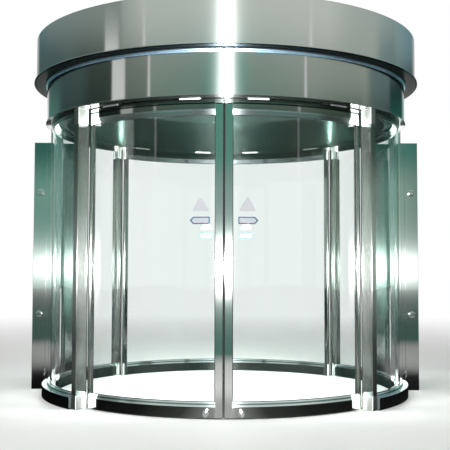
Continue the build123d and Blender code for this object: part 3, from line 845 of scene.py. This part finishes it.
def make_floor():
    """Pale, and white far off. For metal it glows with a tone by angle and distance: painted light and shade.
    """
    material, tree, shader = plain("pale_floor")
    shader.inputs["Base Color"].default_value = (0.80, 0.80, 0.79, 1.0)
    shader.inputs["Roughness"].default_value = 0.6
    shader.inputs["Specular IOR Level"].default_value = 0.05
    position = add(tree, "NewGeometry").outputs["Position"]
    distance = add(tree, "VectorMath", {"operation": "LENGTH"}, in0=position).outputs["Value"]
    seen, glossy = looked_at(tree)
    backdrop = add(tree, "Emission", Color=white, Strength=1.0)
    fade = maths(tree, "MULTIPLY", span(tree, distance, *backdrop_fade), seen)
    shown = add(tree, "MixShader", in0=fade, in1=shader.outputs[0], in2=backdrop.outputs[0])
    close = round_about(tree, position, [
        (-180, 0.40), (-150, 0.30), (-125, 0.01), (-90, 0.003), (-50, 0.01), (-30, 0.02), (-14, 0.12),
        (-5, 0.60), (5, 0.60), (14, 0.12), (30, 0.04), (60, 0.02), (95, 0.01), (125, 0.01), (150, 0.30),
        (180, 0.40),
    ])
    wide = round_about(tree, position, [
        (-180, 0.9), (-150, 0.8), (-125, 0.1), (-60, 0.12), (-35, 0.5), (-20, 0.4), (-14, 0.1), (-8, 0.1),
        (-5, 1.0), (5, 1.0), (8, 0.2), (14, 0.2), (20, 0.4), (35, 0.5), (58, 0.4), (66, 0.04), (90, 0.04),
        (100, 0.3), (125, 0.1), (150, 0.8), (180, 0.9),
    ])
    by_distance = ramp(tree, maths(tree, "DIVIDE", distance, farthest), [
        (0.0, (0.05, 0.11, 0.09)), (0.07, (0.05, 0.11, 0.09)), (0.10, 0.7), (0.17, 1.05), (0.27, 0.8),
        (0.33, (0.10, 0.24, 0.20)), (1.0, (0.10, 0.24, 0.20)),
    ])
    behind = round_about(tree, position, [
        (-180, 1.0), (-163, 1.0), (-158, 0.0), (158, 0.0), (163, 1.0), (180, 1.0),
    ])
    behind = maths(tree, "MULTIPLY", behind, span(tree, distance, *behind_edge))
    far = add(tree, "VectorMath", {"operation": "MULTIPLY"}, in0=by_distance, in1=wide).outputs[0]
    near = blend(tree, span(tree, distance, *drum_edge), drum_floor, close)
    tone = blend(tree, span(tree, distance, *doorstep_edge), near, far)
    tone = blend(tree, behind, tone, white)
    mirrored = add(tree, "Emission", Color=tone, Strength=span(tree, behind, 0.0, 1.0, 1.0, daylight))
    whole = add(tree, "MixShader", in0=glossy, in1=shown.outputs[0], in2=mirrored.outputs[0])
    tree.links.new(whole.outputs[0], tree.nodes["Material Output"].inputs["Surface"])
    material.cycles.emission_sampling = "NONE"
    return material


floor_mesh = bpy.data.meshes.new("floor")
rim = 40.0
floor_mesh.from_pydata([(-rim, -rim, 0), (rim, -rim, 0), (rim, rim, 0), (-rim, rim, 0)], [], [(0, 1, 2, 3)])
floor = bpy.data.objects.new("floor", floor_mesh)
bpy.context.scene.collection.objects.link(floor)
floor_mesh.materials.append(make_floor())

# World, lamps and camera.
# White for the camera. Polished metal sees plain surroundings: dim and greenish at eye level,
# brighter above, darker on the left, with one broad and two slim lights and a bright strip.
tall_lights = ((-67.8, 4.5, 1.05), (-46.4, 0.5, 1.3), (48.8, 0.5, 1.3))      # middle, half width, level
light_edge = 0.25
eaves_from = (0.09, 0.14)     # heights of a direction between which one band turns into the next
band_from = (0.17, 0.22)
high_from = (0.235, 0.29)
soft_grey = (0.72, 0.72, 0.72, 1.0)


def make_world():
    """White for the camera, plain grey for dull surfaces, and for metal four bands of height."""
    world = bpy.data.worlds.new("studio")
    bpy.context.scene.world = world
    world.use_nodes = True
    tree = world.node_tree
    direction = add(tree, "TexCoord").outputs["Generated"]
    height = add(tree, "SeparateXYZ", Vector=direction).outputs["Z"]
    streaks = [(-180, 0.0)]
    for middle, half, level in tall_lights:
        streaks += [(middle - half - light_edge, 0.0), (middle - half, level), (middle + half, level),
                    (middle + half + light_edge, 0.0)]
    lights = round_about(tree, direction, streaks + [(180, 0.0)])
    horizon = round_about(tree, direction, [
        (-180, (0.40, 0.48, 0.44)), (-156, (0.40, 0.48, 0.44)),
        (-150, (0.14, 0.30, 0.26)), (-130, (0.14, 0.30, 0.26)),
        (-122, (0.07, 0.11, 0.10)), (-98, (0.07, 0.11, 0.10)),
        (-92, (0.45, 0.50, 0.45)), (-60, (0.56, 0.60, 0.53)), (-16, (0.30, 0.48, 0.42)),
        (-12, (0.14, 0.36, 0.30)), (-9.7, (0.14, 0.36, 0.30)),
        (-9.4, (0.85, 0.90, 0.85)), (-7.5, (0.85, 0.90, 0.85)),
        (-6, (0.31, 0.47, 0.45)), (4, (0.31, 0.47, 0.45)),
        (8, (0.40, 0.58, 0.50)), (11, (0.40, 0.58, 0.50)),
        (13, (0.17, 0.28, 0.25)), (18, (0.26, 0.40, 0.34)), (60, (0.22, 0.34, 0.26)),
        (68, (0.15, 0.23, 0.17)), (90, (0.15, 0.23, 0.17)),
        (96, (0.36, 0.43, 0.38)), (112, (0.36, 0.43, 0.38)),
        (125, (0.14, 0.34, 0.28)), (150, (0.14, 0.34, 0.28)),
        (156, (0.28, 0.40, 0.35)), (180, (0.28, 0.40, 0.35)),
    ])
    eaves = round_about(tree, direction, [
        (-180, 1.0), (-156, 1.0),
        (-150, (0.10, 0.25, 0.22)), (-130, (0.10, 0.25, 0.22)),
        (-120, (0.04, 0.08, 0.075)), (-100, (0.04, 0.07, 0.065)),
        (-92, (0.005, 0.012, 0.010)), (-73, (0.005, 0.012, 0.010)),
        (-62, (0.06, 0.10, 0.08)), (-48, (0.10, 0.16, 0.13)), (-20, (0.12, 0.28, 0.23)),
        (-12, (0.03, 0.15, 0.12)), (-9, (0.05, 0.19, 0.15)),
        (-6, (0.145, 0.38, 0.31)), (6, (0.145, 0.38, 0.31)),
        (10, (0.15, 0.35, 0.30)), (12.3, (0.06, 0.22, 0.18)), (20, (0.10, 0.26, 0.21)),
        (46, (0.16, 0.21, 0.17)), (58, (0.16, 0.21, 0.17)),
        (66, (0.03, 0.10, 0.07)), (90, (0.03, 0.10, 0.07)),
        (95, (0.16, 0.21, 0.17)), (102, (0.08, 0.12, 0.11)), (122, (0.05, 0.08, 0.08)),
        (126, (0.02, 0.11, 0.09)), (150, (0.02, 0.11, 0.09)),
        (156, (0.46, 0.60, 0.55)), (180, (0.46, 0.60, 0.55)),
    ])
    band = round_about(tree, direction, [
        (-180, 0.65), (-156, 0.50),
        (-148, (0.07, 0.12, 0.12)), (-100, (0.07, 0.12, 0.115)),
        (-90, (0.04, 0.065, 0.055)), (-73, (0.04, 0.065, 0.055)),
        (-62, (0.24, 0.29, 0.25)), (-48, (0.24, 0.29, 0.25)),
        (-44, (0.34, 0.43, 0.37)), (-16, (0.24, 0.38, 0.33)),
        (-9, (0.10, 0.38, 0.31)), (9, (0.10, 0.38, 0.31)),
        (16, (0.30, 0.42, 0.36)), (46, (0.42, 0.50, 0.44)), (52, (0.46, 0.52, 0.46)),
        (95, (0.46, 0.50, 0.45)), (102, (0.20, 0.29, 0.28)), (122, (0.16, 0.24, 0.24)),
        (126, (0.004, 0.01, 0.01)), (148, (0.004, 0.01, 0.01)),
        (156, 0.50), (180, 0.65),
    ])
    high = round_about(tree, direction, [
        (-180, 0.65), (-156, 0.50),
        (-148, (0.14, 0.25, 0.29)), (-128, (0.26, 0.34, 0.34)), (-75, (0.34, 0.39, 0.37)),
        (-72, (0.25, 0.30, 0.28)), (-64, (0.25, 0.30, 0.28)),
        (-60, (0.50, 0.54, 0.52)), (-48, (0.68, 0.72, 0.69)), (60, (0.76, 0.79, 0.76)),
        (78, (0.56, 0.61, 0.58)), (98, (0.50, 0.56, 0.54)),
        (128, (0.25, 0.38, 0.40)), (148, (0.16, 0.28, 0.32)),
        (156, 0.50), (180, 0.65),
    ])
    brighter = {"operation": "MAXIMUM"}
    eaves = add(tree, "VectorMath", brighter, in0=eaves, in1=lights).outputs[0]
    band = add(tree, "VectorMath", brighter, in0=band, in1=lights).outputs[0]
    lift = round_about(tree, direction, [
        (-180, 0.0), (115, 0.0), (126, 0.035), (150, 0.035), (156, 0.0), (180, 0.0),
    ])
    lifted = maths(tree, "ADD", height, lift)
    mirrored = blend(tree, span(tree, height, *eaves_from), horizon, eaves)
    mirrored = blend(tree, span(tree, height, *band_from), mirrored, band)
    mirrored = blend(tree, span(tree, lifted, *high_from), mirrored, high)
    seen, glossy = looked_at(tree)
    soft = blend(tree, glossy, soft_grey, mirrored)
    tree.links.new(blend(tree, seen, soft, white), tree.nodes["Background"].inputs["Color"])
    world.cycles.sampling_method = "NONE"


def lamp(name, place, aim, size, power, metal_sees=False, dull_sees=True):
    """An area lamp that the camera doesn't see. It lights metal, dull surfaces or both."""
    data = bpy.data.lights.new(name, "AREA")
    data.size = size
    data.energy = power
    holder = bpy.data.objects.new(name, data)
    holder.location = place
    holder.rotation_euler = (Vector(aim) - Vector(place)).to_track_quat("-Z", "Y").to_euler()
    holder.visible_camera = False
    holder.visible_transmission = False
    holder.visible_glossy = metal_sees
    holder.visible_diffuse = dull_sees
    bpy.context.scene.collection.objects.link(holder)


make_world()
lamp("flash", (0.08, -8.3, 1.20), (0.0, 0.0, 1.20), 0.15, 7500.0, metal_sees=True, dull_sees=False)
lamp("softbox", (-3.5, -6.0, 6.0), (0.0, 0.0, 1.0), 3.0, 150.0)

camera_place = (0.055, -8.221, 1.177)
camera_turns = (92.964, -0.15, 0.40)     # in degrees
camera_data = bpy.data.cameras.new("camera")
camera_data.sensor_width = 36.0
camera_data.lens = 67.17
camera = bpy.data.objects.new("camera", camera_data)
camera.location = camera_place
camera.rotation_euler = [math.radians(angle) for angle in camera_turns]
bpy.context.scene.collection.objects.link(camera)
bpy.context.scene.camera = camera
bpy.context.scene.view_settings.view_transform = "Standard"
